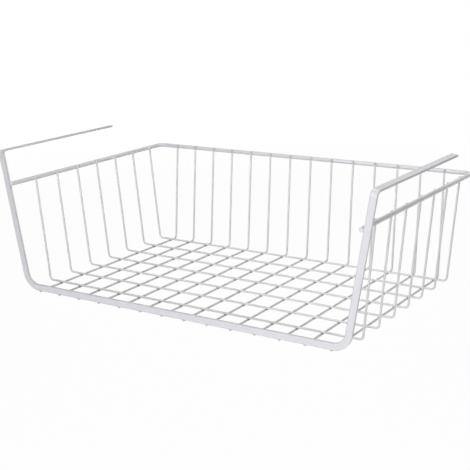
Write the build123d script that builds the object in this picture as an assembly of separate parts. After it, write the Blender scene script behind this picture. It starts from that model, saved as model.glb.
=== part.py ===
from build123d import *
import os
from math import asin, atan2, cos, degrees, radians, sin, tan

# Under-shelf wire basket: two arms of a bent flat strip slide onto a shelf board, and a welded
# grid of round wires hangs below it. The front is open above a low bar, so that things go in.
# X runs to the right, Y from the open front to the back, Z up. The origin lies on the surface
# that the floor wires stand on, in the middle of the basket's width and depth. Lengths in mm.

# Steel stock
grid_wire_diameter = 2.0
grid_wire_flats = 12          # the round grid wire is drawn with this many narrow flats
rim_wire_diameter = 4.2
strip_width = 6.4
strip_thickness = 2.0
strip_edge_break = 0.4        # bevel along the strip's four long edges
weld_set_down = 0.25          # how far a weld presses one piece into the other

# Rim: a U of thick wire, open at the front
rim_span = 370.0              # between the centres of the two side runs
rim_height = 105.0            # from the standing surface to the wire's centre
rim_depth = 238.85            # from the strip's front face to the outside of the back run
rim_bend_radius = 7.0         # to the wire's centre, at the two back corners
rim_end_proud = 1.0           # what the cut ends show in front of the strip

# Grid: floor, side walls and back wall
floor_span = 344.5            # between the two side walls' lower corners
floor_depth = 224.25          # from the strip's front face to the back wall's lower corner
grid_bend_radius = 4.0        # to the wire's centre, where floor turns into wall
cross_wire_count = 7
depth_wire_count = 14
first_cross_wire_setback = 31.0   # from the strip's front face to the first cross wire
last_cross_wire_gap = 11.75   # from the last cross wire to the back wall's lower corner
outer_depth_wire_gap = 13.65  # from the outermost depth wires to the side walls' lower corners
wall_tip_drop = 0.3           # from the top of the rim down to the cut tips
depth_wire_end_setback = 0.7  # from the strip's front face to the cut ends below it

# Front frame: one flat strip
upright_lean = 10.0           # degrees that the uprights spread outward as they rise
bar_corner_radius = 15.0      # to the middle of the strip's width, bent edgewise
arm_bend_radius = 4.0         # to the middle of the strip's thickness, bent the easy way
arm_length = 163.0            # from the strip's front face to the cut end
shelf_slot = 28.0             # between the top of the rim and the arms above it

# Levels, from the standing surface up
depth_wire_z = grid_wire_diameter / 2
cross_wire_z = depth_wire_z + grid_wire_diameter - weld_set_down
bar_z = grid_wire_diameter - weld_set_down + strip_width / 2
arm_z = rim_height + rim_wire_diameter / 2 + shelf_slot + strip_thickness / 2
wall_tip_z = rim_height + rim_wire_diameter / 2 - wall_tip_drop

# Places along the depth; the origin is halfway from the rim's ends to its back
front_y = rim_end_proud - (rim_end_proud + rim_depth) / 2
strip_y = front_y + strip_thickness / 2
rim_back_y = front_y + rim_depth - rim_wire_diameter / 2
floor_back_y = front_y + floor_depth
first_cross_y = front_y + first_cross_wire_setback
cross_pitch = (floor_depth - first_cross_wire_setback - last_cross_wire_gap) / (cross_wire_count - 1)

# Places across the width
rim_x = rim_span / 2
floor_x = floor_span / 2
depth_wire_span = floor_span - 2 * outer_depth_wire_gap
depth_pitch = depth_wire_span / (depth_wire_count - 1)

# Where the grid's wires lie: cross wires along the depth, depth wires across the width
cross_wire_places = [first_cross_y + k * cross_pitch for k in range(cross_wire_count)]
depth_wire_places = [k * depth_pitch - depth_wire_span / 2 for k in range(depth_wire_count)]


def upright_x(height):
    """Middle of the right upright at a height: its inner edge is welded to the rim's outside."""
    lean = radians(upright_lean)
    offset = rim_wire_diameter / 2 - weld_set_down + strip_width / 2
    return rim_x + offset / cos(lean) + (height - rim_height) * tan(lean)


def wall_lean(floor_corner, rim_centre):
    """Outward lean, in radians, of a wall wire that rises from its floor corner and is welded to
    the inner flank of the rim. Both places are given as distance outward and height."""
    outward = rim_centre[0] - floor_corner[0]
    upward = rim_centre[1] - floor_corner[1]
    reach = (outward ** 2 + upward ** 2) ** 0.5
    spacing = (rim_wire_diameter + grid_wire_diameter) / 2 - weld_set_down
    return atan2(outward, upward) - asin(spacing / reach)


def wall_tip(floor_corner, rim_centre):
    """Where a wall wire's centre ends, as distance outward and height."""
    rise = wall_tip_z - floor_corner[1]
    return floor_corner[0] + rise * tan(wall_lean(floor_corner, rim_centre)), wall_tip_z


def bent_wire(points, section, bend_radius, across):
    """Wire of one section through the points, with the same bend at each inner one. All bends lie
    square to the direction across."""
    path = FilletPolyline(*points, radius=bend_radius)
    return sweep(Plane(path @ 0, x_dir=across, z_dir=path % 0) * section, path=path)


def grid_section():
    """Section of the grid wire. Its flats are a wire's radius from its middle, so one faces down
    and one faces each piece that the wire is welded to."""
    turn = 180 / grid_wire_flats
    return RegularPolygon(grid_wire_diameter / 2, grid_wire_flats, major_radius=False, rotation=turn)


def seat_block(middle, facing, along, length, width):
    """Block that cuts the flat seat of a weld into a wire. The seat goes through the middle point,
    faces one way and runs for a length along the wire."""
    seat = Plane(middle, x_dir=along, z_dir=facing)
    return seat * Box(length, width, width, align=(Align.CENTER, Align.CENTER, Align.MIN))


def make_front_frame():
    """Arm, upright, bar, upright, arm in one strip. The bends at the bar are edgewise and those
    at the arms are across the strip's face, so the arms' faces tilt by the uprights' lean."""
    arm_end_y = front_y + arm_length
    arm_x = upright_x(arm_z)
    bar_x = upright_x(bar_z)
    path = FilletPolyline(
        (-arm_x, arm_end_y, arm_z),
        (-arm_x, strip_y, arm_z),
        (-bar_x, strip_y, bar_z),
        (bar_x, strip_y, bar_z),
        (arm_x, strip_y, arm_z),
        (arm_x, arm_end_y, arm_z),
        radius=[arm_bend_radius, bar_corner_radius, bar_corner_radius, arm_bend_radius],
    )
    lean = radians(upright_lean)
    section = chamfer(Rectangle(strip_width, strip_thickness).vertices(), strip_edge_break)
    start = Plane(path @ 0, x_dir=(cos(lean), 0, sin(lean)), z_dir=path % 0)
    return sweep(start * section, path=path)


def make_top_rim():
    """U of thick wire. The outer flank of each end has a flat that is welded to the upright's
    inner edge."""
    end_y = front_y - rim_end_proud
    rim = bent_wire(
        [
            (-rim_x, end_y, rim_height),
            (-rim_x, rim_back_y, rim_height),
            (rim_x, rim_back_y, rim_height),
            (rim_x, end_y, rim_height),
        ],
        Circle(rim_wire_diameter / 2),
        rim_bend_radius,
        across=(0, 0, 1),
    )
    lean = radians(upright_lean)
    for side in (-1, 1):
        facing = Vector(side * cos(lean), 0, -sin(lean))
        flank = Vector(side * rim_x, strip_y, rim_height)
        flank += facing * (rim_wire_diameter / 2 - weld_set_down)
        rim -= seat_block(flank, facing, (0, 1, 0), strip_thickness, rim_wire_diameter)
    return rim


def make_depth_wire(x):
    """Floor and back wall in one wire, with a flat under the bar and one against the rim."""
    tip_y, tip_z = wall_tip((floor_back_y, depth_wire_z), (rim_back_y, rim_height))
    wire = bent_wire(
        [
            (x, front_y + depth_wire_end_setback, depth_wire_z),
            (x, floor_back_y, depth_wire_z),
            (x, tip_y, tip_z),
        ],
        grid_section(),
        grid_bend_radius,
        across=(1, 0, 0),
    )
    width = grid_wire_diameter
    under_bar = (x, strip_y, bar_z - strip_width / 2)
    wire -= seat_block(under_bar, (0, 0, 1), (0, 1, 0), strip_thickness, width)
    rim_flank = (x, rim_back_y - rim_wire_diameter / 2, rim_height)
    return wire - seat_block(rim_flank, (0, 1, 0), (0, 0, 1), rim_wire_diameter, width)


def make_cross_wire(y):
    """Left wall, floor and right wall in one wire, with a flat on every depth wire that it crosses
    and one against the rim at each tip."""
    tip_x, tip_z = wall_tip((floor_x, cross_wire_z), (rim_x, rim_height))
    wire = bent_wire(
        [
            (-tip_x, y, tip_z),
            (-floor_x, y, cross_wire_z),
            (floor_x, y, cross_wire_z),
            (tip_x, y, tip_z),
        ],
        grid_section(),
        grid_bend_radius,
        across=(0, 1, 0),
    )
    width = grid_wire_diameter
    for x in depth_wire_places:
        crossing = (x, y, depth_wire_z + grid_wire_diameter / 2)
        wire -= seat_block(crossing, (0, 0, -1), (1, 0, 0), grid_wire_diameter, width)
    for side in (-1, 1):
        rim_flank = (side * (rim_x - rim_wire_diameter / 2), y, rim_height)
        wire -= seat_block(rim_flank, (side, 0, 0), (0, 0, 1), rim_wire_diameter, width)
    return wire


pieces = {"front_frame": make_front_frame(), "top_rim": make_top_rim()}
for number, y in enumerate(cross_wire_places, start=1):
    pieces[f"cross_wire_{number}"] = make_cross_wire(y)
for number, x in enumerate(depth_wire_places, start=1):
    pieces[f"depth_wire_{number}"] = make_depth_wire(x)

os.makedirs("parts", exist_ok=True)
for name, solid in pieces.items():
    export_step(solid, f"parts/{name}.step")

side_lean = degrees(wall_lean((floor_x, cross_wire_z), (rim_x, rim_height)))
back_lean = degrees(wall_lean((floor_back_y, depth_wire_z), (rim_back_y, rim_height)))
print(f"side walls lean {side_lean:.2f} degrees, back wall {back_lean:.2f}")
print(f"cross wires every {cross_pitch:.2f} mm, depth wires every {depth_pitch:.2f} mm")
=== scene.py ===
from math import acos, asin, atan2, cos, pi, radians, sin, tan

import bpy
import numpy as np
from mathutils import Matrix, Vector


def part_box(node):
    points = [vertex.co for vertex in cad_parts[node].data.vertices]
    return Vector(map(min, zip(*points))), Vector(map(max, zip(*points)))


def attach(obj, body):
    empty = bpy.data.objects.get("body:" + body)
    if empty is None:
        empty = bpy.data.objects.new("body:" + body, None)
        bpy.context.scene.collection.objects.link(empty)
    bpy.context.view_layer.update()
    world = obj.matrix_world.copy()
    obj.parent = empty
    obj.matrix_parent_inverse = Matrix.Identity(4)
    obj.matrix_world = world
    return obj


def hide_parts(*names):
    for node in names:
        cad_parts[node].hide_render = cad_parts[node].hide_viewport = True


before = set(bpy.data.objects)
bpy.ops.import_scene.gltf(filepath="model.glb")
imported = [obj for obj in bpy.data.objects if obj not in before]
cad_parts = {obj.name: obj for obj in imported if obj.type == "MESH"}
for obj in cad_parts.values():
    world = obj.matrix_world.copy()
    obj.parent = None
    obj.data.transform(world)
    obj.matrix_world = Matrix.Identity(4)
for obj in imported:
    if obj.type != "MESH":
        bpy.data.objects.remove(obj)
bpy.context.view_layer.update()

millimetre = 0.001
print("frame loaded")


# Shader fields: sums and products of sockets become Math nodes
class Field:
    def __init__(self, tree, socket):
        self.tree, self.socket = tree, socket

    def combined(self, operation, first, second):
        node = self.tree.nodes.new("ShaderNodeMath")
        node.operation = operation
        for slot, value in zip(node.inputs, (first, second)):
            if isinstance(value, Field):
                self.tree.links.new(value.socket, slot)
            else:
                slot.default_value = value
        return Field(self.tree, node.outputs[0])

    def __add__(self, other): return self.combined("ADD", self, other)
    def __radd__(self, other): return self.combined("ADD", other, self)
    def __sub__(self, other): return self.combined("SUBTRACT", self, other)
    def __rsub__(self, other): return self.combined("SUBTRACT", other, self)
    def __mul__(self, other): return self.combined("MULTIPLY", self, other)
    def __rmul__(self, other): return self.combined("MULTIPLY", other, self)
    def atMost(self, other): return self.combined("MINIMUM", self, other)
    def atLeast(self, other): return self.combined("MAXIMUM", self, other)


class Shader:
    def __init__(self, owner):
        owner.use_nodes = True
        self.tree = owner.node_tree
        self.tree.nodes.clear()

    # One node: its type, its settings, then the values or links of its sockets
    def node(self, kind, settings=None, inputs=None, output=0):
        node = self.tree.nodes.new(kind)
        for name, value in (settings or {}).items():
            setattr(node, name, value)
        for name, value in (inputs or {}).items():
            if isinstance(value, Field):
                self.tree.links.new(value.socket, node.inputs[name])
            else:
                node.inputs[name].default_value = value
        return Field(self.tree, node.outputs[output]) if node.outputs else node

    # Colour between two, by a share; a colour Mix node takes the two at its sockets 6 and 7
    def mixed(self, share, *colours):
        first, second = ((*c, 1.0) if isinstance(c, tuple) else c for c in colours)
        inputs = {0: share, 6: first, 7: second}
        return self.node("ShaderNodeMix", {"data_type": "RGBA"}, inputs, output=2)

    # Output of the tree: one surface, or two that change over by a share
    def finish(self, kind, surface, other=None, share=None):
        if other is not None:
            surface = self.node("ShaderNodeMixShader", None, {0: share, 1: surface, 2: other})
        self.node(kind, None, {"Surface": surface})


def placed(name, data):
    thing = bpy.data.objects.new(name, data)
    bpy.context.scene.collection.objects.link(thing)
    return thing


# Sizes in millimetres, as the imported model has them
basket = {
    "wireRadius": 1.0,
    "rimRadius": 2.1,
    "stripWidth": 6.4,
    "stripThickness": 2.0,
    "weldSetDown": 0.25,
    "rimHalfSpan": 185.0,
    "rimHeight": 105.0,
    "rimBend": 7.0,
    "floorHalfSpan": 172.25,
    "floorDepth": 224.25,
    "gridBend": 4.0,
    "tipDrop": 0.3,
    "lean": radians(10.0),
    "barCorner": 15.0,
    "armBend": 4.0,
    "armLength": 163.0,
    "shelfSlot": 28.0,
    "rimEndProud": 1.0,
    "wireEndSetback": 0.7,
    "crossWires": 7,
    "depthWires": 14,
}
wireRadius, rimRadius = basket["wireRadius"], basket["rimRadius"]
stripWidth, stripThickness = basket["stripWidth"], basket["stripThickness"]
setDown, lean = basket["weldSetDown"], basket["lean"]
rimX, rimZ, floorX = basket["rimHalfSpan"], basket["rimHeight"], basket["floorHalfSpan"]


def boxOf(node):
    low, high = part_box(node)
    return np.array(low) / millimetre, np.array(high) / millimetre


def middleOf(node, axis):
    low, high = boxOf(node)
    return (low[axis] + high[axis]) / 2


# Places along the depth, then levels, then where the grid's wires lie
rimLow, rimHigh = boxOf("top_rim")
frontY = rimLow[1] + basket["rimEndProud"]
stripY = frontY + stripThickness / 2
rimBackY = rimHigh[1] - rimRadius
floorBackY = frontY + basket["floorDepth"]
lowZ = wireRadius
highZ = lowZ + 2 * wireRadius - setDown
barZ = 2 * wireRadius - setDown + stripWidth / 2
armZ = rimZ + rimRadius + basket["shelfSlot"] + stripThickness / 2
tipZ = rimZ + rimRadius - basket["tipDrop"]
crossPlaces = [middleOf(f"cross_wire_{k + 1}", 1) for k in range(basket["crossWires"])]
depthPlaces = [middleOf(f"depth_wire_{k + 1}", 0) for k in range(basket["depthWires"])]


# Middle of the right upright at a height: its inner edge is welded to the rim's outside
def uprightX(height):
    offset = rimRadius - setDown + stripWidth / 2
    return rimX + offset / cos(lean) + (height - rimZ) * tan(lean)


# Lean of a wall wire: its line passes the rim's centre at the distance of two welded radii
def wallLean(corner, cornerZ, rimPlace):
    outward, upward = rimPlace - corner, rimZ - cornerZ
    spacing = rimRadius + wireRadius - setDown
    return atan2(outward, upward) - asin(spacing / (outward ** 2 + upward ** 2) ** 0.5)


sideLean = wallLean(floorX, highZ, rimX)
backLean = wallLean(floorBackY, lowZ, rimBackY)

# Rings of a surface along its path
rings = {
    "joinSlack": 1e-9,      # a length this near to where two runs join counts as on it
    "contactSamples": 10,   # places in each millimetre that a weld's contact is looked for at
    "endSteps": 6,          # rings on a rounded cut end
    "leastSpacing": 0.02,   # rings nearer to each other than this are left out
    "flanks": (-3.0, -2.2, -1.5, -1.0, -0.6, -0.25, 0.0, 0.25, 0.6, 1.0, 1.5, 2.2, 3.0),
}


# Straight runs joined by arcs, as a function of the length along them. An arc starts and ends
# where the bend's radius times the tangent of half its turn has been cut off both runs
class BentPath:
    def __init__(self, corners, radii, side):
        corners = np.array(corners, float)
        legs = np.diff(corners, axis=0)
        sizes = np.linalg.norm(legs, axis=1)
        ways = legs / sizes[:, None]
        turns = [acos(float(np.clip(a @ b, -1, 1))) for a, b in zip(ways, ways[1:])]
        cuts = [0.0] + [r * tan(t / 2) for r, t in zip(radii, turns)] + [0.0]
        self.parts, self.bends = [], []
        side, done = np.array(side, float), 0.0
        for i, way in enumerate(ways):
            run = sizes[i] - cuts[i] - cuts[i + 1]
            origin = corners[i] + way * cuts[i]
            self.parts.append((done, done + run, origin, way, side, None, 0.0))
            done += run
            if i < len(turns):
                axis = np.cross(way, ways[i + 1])
                axis /= np.linalg.norm(axis)
                arc = radii[i] * turns[i]
                bendStart = origin + way * run
                self.parts.append((done, done + arc, bendStart, way, side, axis, radii[i]))
                self.bends.append((done, done + arc))
                side = self.turned(side, axis, np.array([turns[i]]))[0]
                done += arc
        self.length = done

    # A vector turned about an axis: cosine part, sine part and the part along the axis
    @staticmethod
    def turned(vector, axis, angle):
        c, s = np.cos(angle)[:, None], np.sin(angle)[:, None]
        return vector * c + np.cross(axis, vector) * s + axis * (axis @ vector) * (1 - c)

    # Place, direction and side direction at each length; the third direction is their product.
    # On an arc the place is the start plus radius times sine ahead and radius times one minus
    # cosine towards the bend's centre
    def at(self, lengths):
        place, way, side = (np.zeros((len(lengths), 3)) for _ in range(3))
        for start, end, origin, heading, width, axis, radius in self.parts:
            here = ((lengths >= start - rings["joinSlack"])
                    & (lengths <= end + rings["joinSlack"]))
            along = (lengths[here] - start)[:, None]
            if axis is None:
                place[here], way[here], side[here] = origin + along * heading, heading, width
            else:
                angle = along[:, 0] / radius
                toCentre = np.cross(axis, heading)
                place[here] = (origin + radius * np.sin(angle)[:, None] * heading
                               + radius * (1 - np.cos(angle))[:, None] * toCentre)
                way[here] = self.turned(heading, axis, angle)
                side[here] = self.turned(width, axis, angle)
        return place, way, side, np.cross(way, side)

    # Length nearest to each contact, and its direction there in the section's own plane
    def contacts(self, points):
        lengths = np.linspace(0, self.length, int(self.length * rings["contactSamples"]))
        place = self.at(lengths)[0]
        apart = ((points[:, None, :] - place[None]) ** 2).sum(2)
        nearest = lengths[apart.argmin(1)]
        place, _, side, up = self.at(nearest)
        toward = points - place
        return nearest, np.arctan2((toward * up).sum(1), (toward * side).sum(1))


# Lengths of the rings along a path: both rounded ends, every bend and both flanks of every weld
def ringLengths(path, values, weldLengths):
    ends = values["endRound"] * (1 - np.cos(np.linspace(0, pi / 2, rings["endSteps"])))
    sets = [ends, path.length - ends]
    sets += [np.linspace(a, b, values["bendSteps"]) for a, b in path.bends]
    flanks = values["weldWidth"] * np.array(rings["flanks"])
    sets.append((weldLengths[:, None] + flanks[None]).ravel())
    lengths = np.sort(np.concatenate(sets))
    lengths = lengths[(lengths >= 0) & (lengths <= path.length)]
    return lengths[np.concatenate(([True], np.diff(lengths) > rings["leastSpacing"]))]


# A section's points are a core plus a rounding times an outward direction, so that a smaller
# rounding gives the same section set inward. Its last value is each point's share of sharp edge,
# which the coating paints darker as thin coat and as painted shade.
# A round section's core is its centre: cosine and sine of the angle times the radius
def roundSection(radius, count):
    angle = np.arange(count) * 2 * pi / count
    outward = np.stack([np.cos(angle), np.sin(angle)], 1)
    return np.zeros((count, 2)), outward, radius, np.zeros(count)


# A strip's section is four quarter circles about centres set in from its corners, each with one
# more point on the flats at both sides
def stripSection(values):
    steps, corner, support = values["cornerSteps"], values["corner"], values["support"]
    quarter = np.concatenate([[0.0], np.linspace(0, pi / 2, steps), [pi / 2]])
    slide = np.concatenate([[-support], np.zeros(steps), [support]])
    angle = (np.arange(4)[:, None] * pi / 2 + quarter[None]).ravel()
    outward = np.stack([np.cos(angle), np.sin(angle)], 1)
    along = np.stack([-np.sin(angle), np.cos(angle)], 1)
    signs = np.repeat(np.array([(1, 1), (-1, 1), (-1, -1), (1, -1)]), steps + 2, axis=0)
    centres = signs * (np.array([stripWidth, stripThickness]) / 2 - corner)
    least = values["leastSharp"]
    # Share of edge, most at the middle of each rounded corner: the coating paints it darker, as
    # thin coat and as painted shade on the strip's outlines
    sharp = np.concatenate([[0.0], least + (1 - least) * np.sin(2 * quarter[1:-1]), [0.0]])
    return centres + np.tile(slide, 4)[:, None] * along, outward, corner, np.tile(sharp, 4)


# Quads between neighbouring rings, and triangles from each end ring to the path's own end
def ringFaces(count, around):
    i, j = np.meshgrid(np.arange(count - 1), np.arange(around), indexing="ij")
    here, beside = i * around + j, i * around + (j + 1) % around
    quads = np.stack([here, beside, beside + around, here + around], -1).reshape(-1, 4)
    j = np.arange(around)
    k = (j + 1) % around
    first, last = count * around, count * around + 1
    far = (count - 1) * around
    caps = np.concatenate([np.stack([np.full(around, first), k, j], 1),
                           np.stack([np.full(around, last), far + j, far + k], 1)])
    return quads, caps


# Section carried along a path. At length s and section angle t a point lies at
# place(s) + core(t) + (rounding - inset(s) + swell(s, t)) * outward(t), where inset is the
# quarter circle of a rounded cut end and swell is a bell on every weld, on the side of its contact.
# Each weld is a contact point and the strength of the dark mark that it leaves in the coating,
# weld colour with painted contact shadow, a wider or narrower bell that may also go round the
# wire. The share of tip is a bell on each end
def carried(name, path, section, values, welds):
    core, outward, rounding, sharp = section
    welds = np.array(welds, float)
    weldLengths, weldAngles = path.contacts(welds[:, :3])
    lengths = ringLengths(path, values, weldLengths)
    place, _, side, up = path.at(lengths)
    fromEnds = np.stack([lengths, path.length - lengths], 1)
    endRound = values["endRound"]
    short = np.clip(endRound - fromEnds.min(1), 0, None)
    inset = endRound - np.sqrt(np.clip(endRound ** 2 - short ** 2, 0, None))

    apart = lengths[:, None] - weldLengths[None]
    turn = np.arctan2(outward[:, 1], outward[:, 0])
    facing = np.clip(np.cos(turn[:, None] - weldAngles[None]), 0, 1) ** 2
    swell = np.clip(np.exp(-(apart / values["weldWidth"]) ** 2) @ facing.T, 0, 1)
    markBell = np.exp(-(apart / values["markWidth"]) ** 2) * welds[:, 3]
    marked = values["markAround"] + (1 - values["markAround"]) * facing
    mark = np.clip(markBell @ marked.T, 0, 1)
    tip = np.exp(-(fromEnds / values["endFade"]) ** 2) @ np.array(values["endMarks"])

    depth = rounding - inset[:, None] + values["weldSwell"] * swell
    flat = core[None] + depth[..., None] * outward[None]
    surface = place[:, None] + flat[..., :1] * side[:, None] + flat[..., 1:] * up[:, None]
    count, around = surface.shape[:2]
    points = np.concatenate([surface.reshape(-1, 3), place[:1], place[-1:]])
    shares = {
        "weldShare": np.concatenate([mark.ravel(), [0, 0]]),
        "tipShare": np.concatenate([np.repeat(tip, around), values["endMarks"]]),
        "edgeShare": np.concatenate([np.tile(sharp, count), [0, 0]]),
    }
    return putMesh(name, points * millimetre, *ringFaces(count, around), shares)


# Outward-facing mesh: turned round if its signed volume is negative
def putMesh(name, points, quads, caps, shares):
    triangles = np.concatenate([quads[:, [0, 1, 2]], quads[:, [0, 2, 3]], caps])
    a, b, c = (points[triangles[:, n]] for n in range(3))
    if (a * np.cross(b, c)).sum() < 0:
        quads, caps = quads[:, ::-1], caps[:, ::-1]
    mesh = bpy.data.meshes.new(name)
    mesh.from_pydata(points.tolist(), [], quads.tolist() + caps.tolist())
    mesh.polygons.foreach_set("use_smooth", np.ones(len(mesh.polygons), bool))
    for label, share in shares.items():
        attribute = mesh.attributes.new(label, "FLOAT", "POINT")
        attribute.data.foreach_set("value", share.astype(np.float32))
    mesh.update()
    return placed(name, mesh)


# Detail of each noise in the coatings, and how far it is moved so that no two coincide
noises = {"drift": (3.0, 0.37), "patch": (4.0, 1.91), "peel": (2.0, 4.23)}
noiseMiddle = 0.5


# White coating: tone that drifts slowly, thinner and greyer on cut tips and edges, with painted
# shade on the edges too, dark round the welds as weld colour and painted contact shadow, with a
# clear gloss and the fine ripple of a baked powder
def makeCoating(name, values):
    material = bpy.data.materials.new(name)
    shader = Shader(material)
    place = shader.node("ShaderNodeTexCoord", output="Object")

    def noise(label):
        detail, shift = noises[label]
        moved = shader.node("ShaderNodeMapping", None, {
            "Vector": place, "Location": (shift, shift, shift)})
        return shader.node("ShaderNodeTexNoise", None, {
            "Vector": moved, "Scale": values[f"{label}Scale"], "Detail": detail})

    def share(label):
        return shader.node("ShaderNodeAttribute", {"attribute_name": label}, output="Fac")

    drift, patches, peel = noise("drift"), noise("patch"), noise("peel")
    specks = ((patches - values["speckFrom"]).atLeast(0.0) * values["speckGain"]).atMost(1.0)
    # Share of greyer coat: thin coat on cut tips and in specks, and on the strip's edges thin coat
    # with painted shade
    wearAndEdgeShade = (share("tipShare") * values["tipWear"] + share("edgeShare") * values["edgeWearAndShade"]
            + specks * values["speckWear"]).atMost(1.0)
    tone = shader.mixed(drift, values["cool"], values["warm"])
    wornAndShaded = shader.mixed(wearAndEdgeShade, tone, values["wearAndShadeTone"])
    # Dark round each weld: weld colour with painted contact shadow
    marked = shader.mixed(share("weldShare") * values["weldAndShadowStrength"], wornAndShaded, values["weldAndShadowTone"])

    height = peel * values["peelShare"] + drift * (1 - values["peelShare"])
    bump = shader.node("ShaderNodeBump", None, {
        "Strength": values["bumpStrength"], "Distance": values["bumpDepth"] * millimetre,
        "Height": height})
    roughness = (values["roughness"] + (patches - noiseMiddle) * values["roughnessSpread"]
                 + wearAndEdgeShade * values["thinRoughness"])
    shader.finish("ShaderNodeOutputMaterial", shader.node("ShaderNodeBsdfPrincipled", None, {
        "Base Color": marked, "Roughness": roughness, "Normal": bump,
        "Coat Weight": values["coat"] * (1 - wearAndEdgeShade), "Coat Roughness": values["coatRoughness"],
        "Specular IOR Level": values["specular"]}))
    return material


# One white powder coat on every piece: the grid wires' tone is set lighter than the rim's and the
# strip's, and that difference is painted light and shade
wireFinish = {
    "cool": (0.779, 0.775, 0.790), "warm": (0.790, 0.785, 0.795), "driftScale": 22.0,
    "roughness": 0.45, "roughnessSpread": 0.16, "thinRoughness": 0.08, "specular": 0.2,
    "coat": 1.0, "coatRoughness": 0.10,
    "peelScale": 1500.0, "peelShare": 0.8, "bumpStrength": 0.25, "bumpDepth": 0.04,
    "wearAndShadeTone": (0.50, 0.50, 0.515), "tipWear": 0.85, "edgeWearAndShade": 0.0,
    "patchScale": 140.0, "speckFrom": 0.62, "speckGain": 6.0, "speckWear": 0.06,
    # Near-black round the welds: a dark weld with painted contact shadow
    "weldAndShadowTone": (0.10, 0.10, 0.105), "weldAndShadowStrength": 0.9,
}
rimFinish = dict(
    wireFinish, cool=(0.742, 0.735, 0.768), warm=(0.756, 0.749, 0.776), driftScale=14.0,
    peelScale=1100.0, bumpDepth=0.05, tipWear=0.05)
# Strip: its rounded edges are painted much darker, as thin coat there and as painted shade along
# its outlines
stripFinish = dict(
    wireFinish, cool=(0.748, 0.741, 0.789), warm=(0.763, 0.756, 0.795), driftScale=10.0,
    peelScale=900.0, bumpDepth=0.05, roughness=0.41, wearAndShadeTone=(0.54, 0.535, 0.57),
    tipWear=0.3, edgeWearAndShade=0.9)

coatings = {
    "wire": makeCoating("wireCoating", wireFinish),
    "rim": makeCoating("rimCoating", rimFinish),
    "strip": makeCoating("stripCoating", stripFinish),
}
print("coatings made")


def dress(piece, coating, node):
    piece.data.materials.append(coatings[coating])
    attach(piece, "root")
    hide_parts(node)


# Contact points of the welds, each with the strength of its dark mark, weld colour with painted
# contact shadow. A contact lies halfway into what the weld presses in
markOf = {"crossing": 1.0, "bar": 0.3, "rim": 0.25, "upright": 0.25}
halfSet = setDown / 2
flankReach = rimRadius - halfSet


def crossingContact(x, y):
    return x, y, lowZ + wireRadius - halfSet, markOf["crossing"]


def barContact(x):
    return x, stripY, barZ - stripWidth / 2, markOf["bar"]


def sideContact(side, y):
    return (side * (rimX - flankReach * cos(sideLean)), y,
            rimZ + flankReach * sin(sideLean), markOf["rim"])


def backContact(x):
    return (x, rimBackY - flankReach * cos(backLean),
            rimZ + flankReach * sin(backLean), markOf["rim"])


def uprightContact(side):
    return (side * (rimX + flankReach * cos(lean)), stripY,
            rimZ - flankReach * sin(lean), markOf["upright"])


uprightContacts = [uprightContact(-1), uprightContact(1)]

# Grid wires: the cross wires lie on the depth wires, and hide their own weld marks
crossWire = {
    "endRound": 0.8, "endFade": 1.2, "endMarks": (0.1, 0.1), "weldWidth": 1.1, "weldSwell": 0.22,
    "markWidth": 1.2, "markAround": 0.0, "around": 16, "bendSteps": 12,
}
# On the depth wires the dark mark is wider and goes most of the way round the wire: painted shadow
# of the cross wire lying on it, over a dark weld
depthWire = dict(crossWire, endRound=0.6, endMarks=(0.25, 1.0), markWidth=2.5, markAround=0.8)
wireSection = roundSection(wireRadius, crossWire["around"])

tipX = floorX + (tipZ - highZ) * tan(sideLean)
for number, y in enumerate(crossPlaces, start=1):
    path = BentPath([(-tipX, y, tipZ), (-floorX, y, highZ), (floorX, y, highZ), (tipX, y, tipZ)],
                    [basket["gridBend"]] * 2, (0, 1, 0))
    welds = [crossingContact(x, y) for x in depthPlaces] + [sideContact(-1, y), sideContact(1, y)]
    wire = carried(f"crossWire{number}", path, wireSection, crossWire, welds)
    dress(wire, "wire", f"cross_wire_{number}")

tipY = floorBackY + (tipZ - lowZ) * tan(backLean)
wireFrontY = frontY + basket["wireEndSetback"]
for number, x in enumerate(depthPlaces, start=1):
    path = BentPath([(x, wireFrontY, lowZ), (x, floorBackY, lowZ), (x, tipY, tipZ)],
                    [basket["gridBend"]], (1, 0, 0))
    welds = [crossingContact(x, y) for y in crossPlaces] + [barContact(x), backContact(x)]
    wire = carried(f"depthWire{number}", path, wireSection, depthWire, welds)
    dress(wire, "wire", f"depth_wire_{number}")
print("grid wires made")

# Rim: a U of thick wire
rim = {
    "endRound": 0.9, "endFade": 2.0, "endMarks": (1.0, 1.0), "weldWidth": 1.4, "weldSwell": 0.2,
    "markWidth": 1.2, "markAround": 0.0, "around": 28, "bendSteps": 20,
}
rimEndY = frontY - basket["rimEndProud"]
rimPath = BentPath(
    [(-rimX, rimEndY, rimZ), (-rimX, rimBackY, rimZ),
     (rimX, rimBackY, rimZ), (rimX, rimEndY, rimZ)],
    [basket["rimBend"]] * 2, (0, 0, 1))
rimWelds = [sideContact(side, y) for side in (-1, 1) for y in crossPlaces]
rimWelds += [backContact(x) for x in depthPlaces] + uprightContacts
rimSection = roundSection(rimRadius, rim["around"])
dress(carried("topRim", rimPath, rimSection, rim, rimWelds), "rim", "top_rim")
print("rim made")

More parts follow.
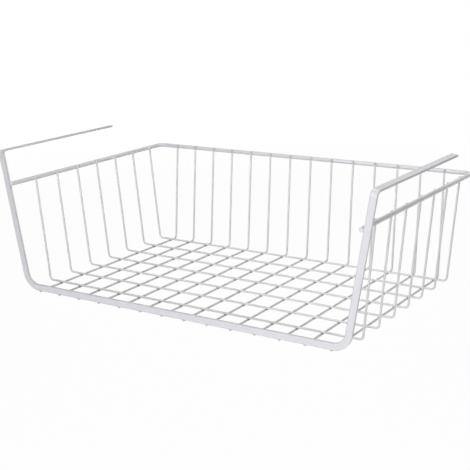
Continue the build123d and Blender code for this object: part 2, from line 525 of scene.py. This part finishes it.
# Front frame: flat strip, bent edgewise at the bar and across its face at the arms
strip = {
    "endRound": 0.35, "endFade": 1.6, "endMarks": (1.0, 1.0), "weldWidth": 1.5, "weldSwell": 0.12,
    "markWidth": 1.2, "markAround": 0.0, "bendSteps": 28,
    "corner": 0.45, "cornerSteps": 6, "support": 0.3, "leastSharp": 0.6,
}
armX, barX = uprightX(armZ), uprightX(barZ)
armEndY = frontY + basket["armLength"]
stripPath = BentPath(
    [(-armX, armEndY, armZ), (-armX, stripY, armZ), (-barX, stripY, barZ),
     (barX, stripY, barZ), (armX, stripY, armZ), (armX, armEndY, armZ)],
    [basket["armBend"], basket["barCorner"], basket["barCorner"], basket["armBend"]],
    (cos(lean), 0, sin(lean)))
stripWelds = [barContact(x) for x in depthPlaces] + uprightContacts
frontFrame = carried("frontFrame", stripPath, stripSection(strip), strip, stripWelds)
dress(frontFrame, "strip", "front_frame")
print("front frame made")

# Floor, world and lamps
studio = {
    "floorTone": 0.95, "floorWhite": 0.97, "whiteFrom": 0.3, "whiteTo": 1.0, "floorSize": 12.0,
    "floorDrop": 0.0004, "skyTone": (0.05, 0.05, 0.05),
    "lamps": {  # place, width and height, power
        "nearLamp": ((0.5, -0.7, 0.12), (0.25, 0.25), 1.47),
        "lowLamp": ((0.0, -0.9, 0.15), (0.25, 0.25), 0.75),
        "insideLamp": ((0.0, 0.0, 0.5), (0.25, 0.25), 0.62),
        "armLamp": ((0.42, -0.1, 0.8), (0.6, 0.08), 1.13),  # the right arm shades the rim from it
        "rearLamp": ((0.2, 1.6, 1.2), (1.2, 1.2), 2.46),
        "farLamp": ((0.6, -2.2, 0.8), (1.0, 1.0), 10.4),
        "tallLamp": ((-1.0, -2.4, 0.6), (0.6, 2.0), 13.0),
    },
    "aim": (0.0, 0.0, 0.06),
}
pureWhite = {"Color": (1.0, 1.0, 1.0, 1.0), "Strength": 1.0}


# Share of the background that only the camera, reflections and clear materials see
def seenDirectly(shader):
    sources = shader.node("ShaderNodeLightPath").socket.node.outputs
    seen, glossy, clear = (Field(shader.tree, sources[name]) for name in
                           ("Is Camera Ray", "Is Glossy Ray", "Is Transmission Ray"))
    return (seen + glossy + clear).atMost(1.0)


# Floor: pale paper that takes the shadow, seen nearly white and fully white farther off
half, drop, tone = studio["floorSize"] / 2, studio["floorDrop"], studio["floorTone"]
floorMesh = bpy.data.meshes.new("floor")
floorMesh.from_pydata([(-half, -half, -drop), (half, -half, -drop),
                       (half, half, -drop), (-half, half, -drop)], [], [(0, 1, 2, 3)])
floor = placed("floor", floorMesh)
floorMaterial = bpy.data.materials.new("floorPaper")
floorShader = Shader(floorMaterial)
floorPlace = floorShader.node("ShaderNodeTexCoord", output="Object")
farOff = floorShader.node("ShaderNodeVectorMath", {"operation": "LENGTH"}, {0: floorPlace},
                          output="Value")
whiteness = floorShader.node("ShaderNodeMapRange", {"interpolation_type": "SMOOTHSTEP"}, {
    "Value": farOff, "From Min": studio["whiteFrom"], "From Max": studio["whiteTo"],
    "To Min": studio["floorWhite"], "To Max": 1.0})
floorShader.finish(
    "ShaderNodeOutputMaterial",
    floorShader.node("ShaderNodeBsdfDiffuse", None, {"Color": (tone, tone, tone, 1.0)}),
    floorShader.node("ShaderNodeEmission", None, pureWhite),
    seenDirectly(floorShader) * whiteness)
floorMesh.materials.append(floorMaterial)

world = bpy.data.worlds.new("studio")
bpy.context.scene.world = world
worldShader = Shader(world)
worldShader.finish(
    "ShaderNodeOutputWorld",
    worldShader.node("ShaderNodeBackground", None, {
        "Color": (*studio["skyTone"], 1.0), "Strength": 1.0}),
    worldShader.node("ShaderNodeBackground", None, pureWhite),
    seenDirectly(worldShader))

for lampName, (place, size, power) in studio["lamps"].items():
    lamp = bpy.data.lights.new(lampName, "AREA")
    lamp.shape, lamp.energy = "RECTANGLE", power
    lamp.size, lamp.size_y = size
    holder = placed(lampName, lamp)
    holder.location = place
    aimed = Vector(studio["aim"]) - Vector(place)
    holder.rotation_euler = aimed.to_track_quat("-Z", "Y").to_euler()

# Camera at the photograph's angle; its local axes are right, up and back
view = {
    "place": (0.517529, -0.799751, 0.304543), "yaw": radians(33.342),
    "pitch": radians(14.9903), "roll": radians(-1.436), "lens": 78.085, "sensor": 36.0,
}
yaw, pitch, roll = view["yaw"], view["pitch"], view["roll"]
back = Vector((sin(yaw) * cos(pitch), -cos(yaw) * cos(pitch), sin(pitch)))
right = Vector((0, 0, 1)).cross(back).normalized()
up = back.cross(right)
rolledRight = cos(roll) * right + sin(roll) * up
rolledUp = -sin(roll) * right + cos(roll) * up
lens = bpy.data.cameras.new("camera")
lens.sensor_fit, lens.sensor_width, lens.lens = "HORIZONTAL", view["sensor"], view["lens"]
camera = placed("camera", lens)
camera.matrix_world = (Matrix.Translation(view["place"])
                       @ Matrix((rolledRight, rolledUp, back)).transposed().to_4x4())
bpy.context.scene.camera = camera
bpy.context.scene.view_settings.view_transform = "Standard"
print("studio and camera set")
